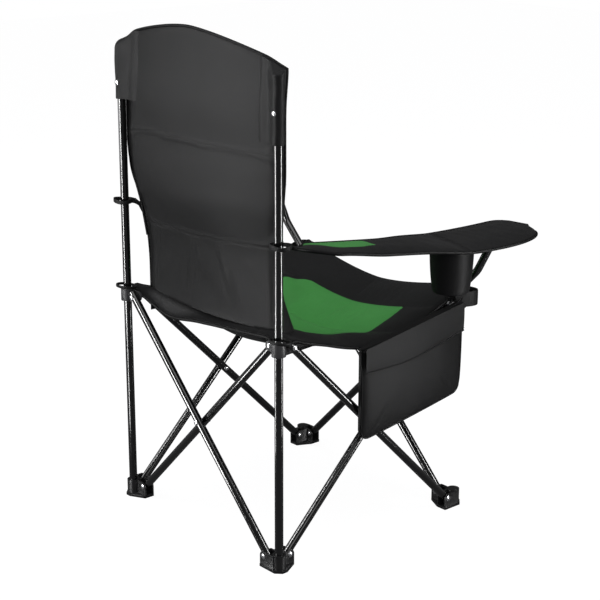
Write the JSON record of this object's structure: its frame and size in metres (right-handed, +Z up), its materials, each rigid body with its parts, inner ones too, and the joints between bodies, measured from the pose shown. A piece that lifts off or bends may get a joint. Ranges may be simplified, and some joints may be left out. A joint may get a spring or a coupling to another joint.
{
  "type": "folding camp chair",
  "caption": "High-backed folding camp chair: scissor-folding steel frame, sling seat, padded back, flat armrests, cup holder and side pouch.",
  "frame": {"origin": "on the ground under the middle of the chair's bounding box", "axes": "+Z up, the sitter looks towards -Y and the sitter's left hand is at +X"},
  "size_m": [0.8014, 0.635, 1.074],
  "materials": {
    "enamelled_steel": "gloss black enamel on steel tube",
    "rivet_steel": "bright zinc",
    "grey_plastic": "dark grey moulded nylon",
    "black_plastic": "black moulded plastic",
    "green_fabric": "matte woven polyester",
    "black_fabric": "matte woven polyester"
  },
  "bodies": {
    "rear_left_leg": {"post_rear_left": "enamelled_steel", "post_cap_left": "black_plastic", "foot_rear_left": "black_plastic", "foot_rivets_rear_left": "rivet_steel", "sleeve_left": "black_fabric", "sleeve_rivet_left": "rivet_steel", "arm_loop_left": "black_fabric", "back_panel": "black_fabric"},
    "rear_inner_leg": {"tube_rear_inner": "enamelled_steel", "plugs_rear_inner": "black_plastic", "cross_rivet_rear": "rivet_steel"},
    "rear_outer_leg": {"tube_rear_outer": "enamelled_steel", "plugs_rear_outer": "black_plastic"},
    "rear_right_leg": {"post_rear_right": "enamelled_steel", "post_cap_right": "black_plastic", "foot_rear_right": "black_plastic", "foot_rivets_rear_right": "rivet_steel", "sleeve_right": "black_fabric", "sleeve_rivet_right": "rivet_steel", "arm_loop_right": "black_fabric"},
    "left_outer_leg": {"tube_left_outer": "enamelled_steel", "plugs_left_outer": "black_plastic", "cross_rivet_left": "rivet_steel"},
    "left_inner_leg": {"tube_left_inner": "enamelled_steel", "plugs_left_inner": "black_plastic"},
    "right_inner_leg": {"tube_right_inner": "enamelled_steel", "plugs_right_inner": "black_plastic", "cross_rivet_right": "rivet_steel"},
    "right_outer_leg": {"tube_right_outer": "enamelled_steel", "plugs_right_outer": "black_plastic"},
    "front_outer_leg": {"tube_front_outer": "enamelled_steel", "plug_front_outer": "black_plastic", "cross_rivet_front": "rivet_steel", "arm_cap_right": "black_plastic"},
    "front_inner_leg": {"tube_front_inner": "enamelled_steel", "plug_front_inner": "black_plastic", "arm_cap_left": "black_plastic"},
    "rear_left_slider": {"slider_left": "grey_plastic", "slider_rivets_left": "rivet_steel", "seat_loop_left": "black_fabric"},
    "rear_right_slider": {"slider_right": "grey_plastic", "slider_rivets_right": "rivet_steel", "seat_loop_right": "black_fabric"},
    "front_left_foot": {"foot_front_left": "black_plastic", "foot_rivets_front_left": "rivet_steel"},
    "front_right_foot": {"foot_front_right": "black_plastic", "foot_rivets_front_right": "rivet_steel"},
    "front_left_hub": {"hub_front_left": "black_plastic", "hub_rivets_left": "rivet_steel", "seat_band_left": "black_fabric"},
    "front_right_hub": {"hub_front_right": "black_plastic", "hub_rivets_right": "rivet_steel", "seat_band_right": "black_fabric", "side_pouch": "black_fabric"},
    "seat_rear_part": {"seat_rear_half": "green_fabric"},
    "seat_front_part": {"seat_front_half": "green_fabric"},
    "left_armrest": {"armrest_left": "black_fabric"},
    "right_armrest": {"armrest_right": "black_fabric", "cup_holder": "black_fabric"},
    "pouch_flap_part": {"pouch_flap": "black_fabric"}
  },
  "joints": [
    {"name": "frame_fold", "type": "hinge", "parent": "rear_left_leg", "child": "rear_inner_leg", "pos_m": [0.24297, 0.2859, 0.025], "axis": [0, 1, 0], "range_deg": [0, 37], "deforming": ["back_panel", "seat_rear_half", "seat_front_half", "armrest_left", "armrest_right", "cup_holder", "side_pouch", "pouch_flap"]},
    {"name": "rear_crossing", "type": "hinge", "parent": "rear_inner_leg", "child": "rear_outer_leg", "pos_m": [0.01947, 0.3035, 0.2485], "axis": [0, -1, 0], "range_deg": [0, 74]},
    {"name": "rear_right_foot_pivot", "type": "hinge", "parent": "rear_outer_leg", "child": "rear_right_leg", "pos_m": [-0.20403, 0.3035, 0.025], "axis": [0, 1, 0], "range_deg": [0, 37]},
    {"name": "rear_left_slider_pivot", "type": "hinge", "parent": "rear_outer_leg", "child": "rear_left_slider", "pos_m": [0.24297, 0.3035, 0.472], "axis": [0, 1, 0], "range_deg": [0, 37]},
    {"name": "left_foot_pivot", "type": "hinge", "parent": "rear_left_leg", "child": "left_outer_leg", "pos_m": [0.27847, 0.268, 0.025], "axis": [-1, 0, 0], "range_deg": [0, 37]},
    {"name": "left_crossing", "type": "hinge", "parent": "left_outer_leg", "child": "left_inner_leg", "pos_m": [0.27847, 0.0445, 0.2485], "axis": [1, 0, 0], "range_deg": [0, 74]},
    {"name": "front_left_foot_pivot", "type": "hinge", "parent": "left_inner_leg", "child": "front_left_foot", "pos_m": [0.26087, -0.179, 0.025], "axis": [-1, 0, 0], "range_deg": [0, 37]},
    {"name": "front_left_hub_pivot", "type": "hinge", "parent": "left_outer_leg", "child": "front_left_hub", "pos_m": [0.27847, -0.179, 0.472], "axis": [1, 0, 0], "range_deg": [0, 37]},
    {"name": "right_foot_pivot", "type": "hinge", "parent": "rear_right_leg", "child": "right_inner_leg", "pos_m": [-0.22193, 0.268, 0.025], "axis": [-1, 0, 0], "range_deg": [0, 37]},
    {"name": "right_crossing", "type": "hinge", "parent": "right_inner_leg", "child": "right_outer_leg", "pos_m": [-0.23953, 0.0445, 0.2485], "axis": [1, 0, 0], "range_deg": [0, 74]},
    {"name": "front_right_foot_pivot", "type": "hinge", "parent": "right_outer_leg", "child": "front_right_foot", "pos_m": [-0.23953, -0.179, 0.025], "axis": [-1, 0, 0], "range_deg": [0, 37]},
    {"name": "rear_right_slider_pivot", "type": "hinge", "parent": "right_outer_leg", "child": "rear_right_slider", "pos_m": [-0.23953, 0.268, 0.472], "axis": [-1, 0, 0], "range_deg": [0, 37]},
    {"name": "front_right_hub_pivot", "type": "hinge", "parent": "right_inner_leg", "child": "front_right_hub", "pos_m": [-0.22193, -0.179, 0.472], "axis": [1, 0, 0], "range_deg": [0, 37]},
    {"name": "front_foot_pivot", "type": "hinge", "parent": "front_left_foot", "child": "front_outer_leg", "pos_m": [0.24297, -0.2145, 0.025], "axis": [0, 1, 0], "range_deg": [0, 37]},
    {"name": "front_crossing", "type": "hinge", "parent": "front_outer_leg", "child": "front_inner_leg", "pos_m": [0.01947, -0.2145, 0.2485], "axis": [0, -1, 0], "range_deg": [0, 74]},
    {"name": "seat_rear_fold", "type": "hinge", "parent": "rear_left_slider", "child": "seat_rear_part", "pos_m": [0.01947, 0.28775, 0.511], "axis": [1, 0, 0], "range_deg": [0, 51.8]},
    {"name": "seat_front_fold", "type": "hinge", "parent": "front_left_hub", "child": "seat_front_part", "pos_m": [0.01947, -0.2175, 0.511], "axis": [-1, 0, 0], "range_deg": [0, 51.8]},
    {"name": "left_armrest_fold", "type": "hinge", "parent": "rear_left_leg", "child": "left_armrest", "pos_m": [0.28499, 0.27675, 0.68096], "axis": [-0.8856, -0.2559, -0.3876], "range_deg": [0, 75.35]},
    {"name": "right_armrest_fold", "type": "hinge", "parent": "rear_right_leg", "child": "right_armrest", "pos_m": [-0.24605, 0.27675, 0.68096], "axis": [-0.8844, 0.2394, 0.4006], "range_deg": [0, 70.84]},
    {"name": "pouch_flap_hinge", "type": "hinge", "parent": "front_right_hub", "child": "pouch_flap_part", "pos_m": [-0.27553, -0.1935, 0.48233], "axis": [0, 0.989, -0.1478], "range_deg": [0, 140]}
  ],
  "couplings": [
    {"joint": "rear_crossing", "follows": "frame_fold", "ratio": 2},
    {"joint": "rear_right_foot_pivot", "follows": "frame_fold", "ratio": 1},
    {"joint": "rear_left_slider_pivot", "follows": "frame_fold", "ratio": 1},
    {"joint": "left_foot_pivot", "follows": "frame_fold", "ratio": 1},
    {"joint": "left_crossing", "follows": "frame_fold", "ratio": 2},
    {"joint": "front_left_foot_pivot", "follows": "frame_fold", "ratio": 1},
    {"joint": "front_left_hub_pivot", "follows": "frame_fold", "ratio": 1},
    {"joint": "right_foot_pivot", "follows": "frame_fold", "ratio": 1},
    {"joint": "right_crossing", "follows": "frame_fold", "ratio": 2},
    {"joint": "front_right_foot_pivot", "follows": "frame_fold", "ratio": 1},
    {"joint": "rear_right_slider_pivot", "follows": "frame_fold", "ratio": 1},
    {"joint": "front_right_hub_pivot", "follows": "frame_fold", "ratio": 1},
    {"joint": "front_foot_pivot", "follows": "frame_fold", "ratio": 1},
    {"joint": "front_crossing", "follows": "frame_fold", "ratio": 2},
    {"joint": "seat_rear_fold", "follows": "frame_fold", "ratio": 1.4},
    {"joint": "seat_front_fold", "follows": "frame_fold", "ratio": 1.4},
    {"joint": "left_armrest_fold", "follows": "frame_fold", "ratio": 2.0364},
    {"joint": "right_armrest_fold", "follows": "frame_fold", "ratio": 1.9147}
  ]
}
